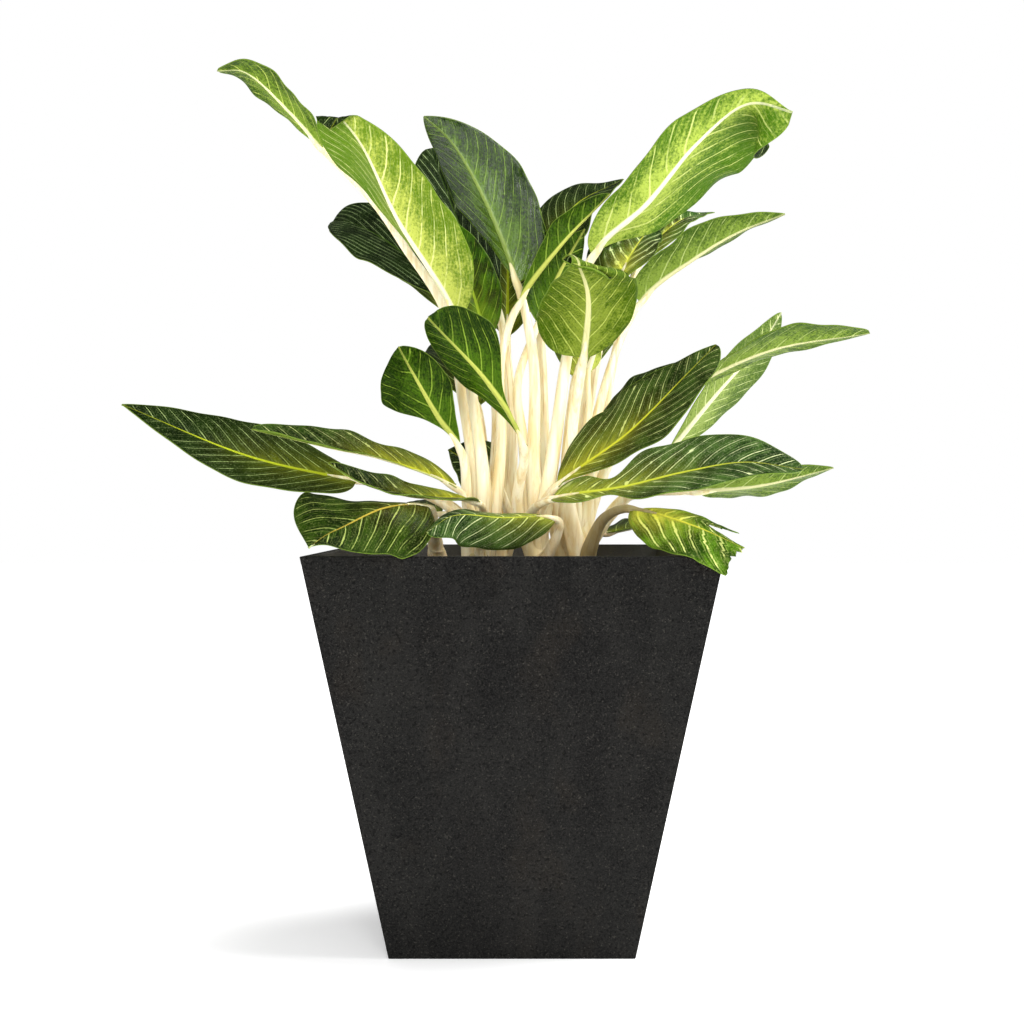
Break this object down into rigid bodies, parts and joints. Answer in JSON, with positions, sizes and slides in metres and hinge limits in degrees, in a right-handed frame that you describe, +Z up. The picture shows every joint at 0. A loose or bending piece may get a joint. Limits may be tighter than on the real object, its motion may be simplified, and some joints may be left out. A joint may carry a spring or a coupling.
{
  "type": "potted chinese evergreen",
  "caption": "House plant with broad pointed variegated leaves on pale stalks, standing in a square tapered planter filled with soil.",
  "frame": {"origin": "middle of the planter's flat underside, where it rests", "axes": "+Z up; -Y is the side that the planter's front face and the viewer are on; +X to the viewer's right"},
  "size_m": [0.6558, 0.4704, 0.7736],
  "materials": {
    "pot": "matte charcoal with fine speckles",
    "soil": "rough dark potting mix of bark and peat",
    "stalk": "smooth cream leaf stalks with tan grooves",
    "leaf_dark": "satin dark green upper side with pale veins",
    "leaf_lime": "satin lime green underside with a pale midrib",
    "leaf_grey_green": "satin grey-green underside with a cream midrib"
  },
  "bodies": {
    "root": {"pot": "pot", "soil": "soil", "shoot_left": "stalk", "shoot_middle": "stalk", "shoot_right": "stalk", "shoot_young": "stalk", "shoot_rearLeft": "stalk", "shoot_rearRight": "stalk", "leaf_far_left_high": "leaf_lime", "leaf_left_high_lime": "leaf_lime", "leaf_left_back_dark": "leaf_dark", "leaf_back_dark_tall": "leaf_dark", "leaf_mid_green": "leaf_lime", "leaf_centre_tall": "leaf_grey_green", "leaf_behind_fold": "leaf_grey_green", "leaf_back_centre_dark": "leaf_dark", "leaf_centre_fold_lime": "leaf_lime", "leaf_right_high_large": "leaf_lime", "leaf_front_oval": "leaf_grey_green", "leaf_new_leaf": "leaf_lime", "leaf_small_variegated": "leaf_dark", "leaf_back_right_curl": "leaf_dark", "leaf_right_mid_grey": "leaf_grey_green", "leaf_right_far_upper": "leaf_grey_green", "leaf_right_back_narrow": "leaf_lime", "leaf_right_dark_big": "leaf_dark", "leaf_right_upper_dark": "leaf_dark", "leaf_right_low_twist": "leaf_dark", "leaf_right_low_under": "leaf_grey_green", "leaf_right_torn": "leaf_dark", "leaf_front_left_oval": "leaf_grey_green", "leaf_centre_folded": "leaf_grey_green", "leaf_low_back_dark": "leaf_dark", "leaf_left_long_dark": "leaf_dark", "leaf_left_mid_folded": "leaf_dark", "leaf_left_low_curl": "leaf_dark", "leaf_front_low_dark": "leaf_dark", "leaf_left_low_olive": "leaf_dark", "leaf_back_tall": "leaf_dark", "leaf_back_right_high": "leaf_dark", "leaf_back_right_mid": "leaf_dark", "leaf_back_rise": "leaf_dark", "leaf_back_left_rise": "leaf_dark", "leaf_back_left_high": "leaf_dark", "leaf_back_low_left": "leaf_dark", "leaf_back_low": "leaf_dark", "leaf_back_low_right": "leaf_dark"}
  },
  "joints": []
}
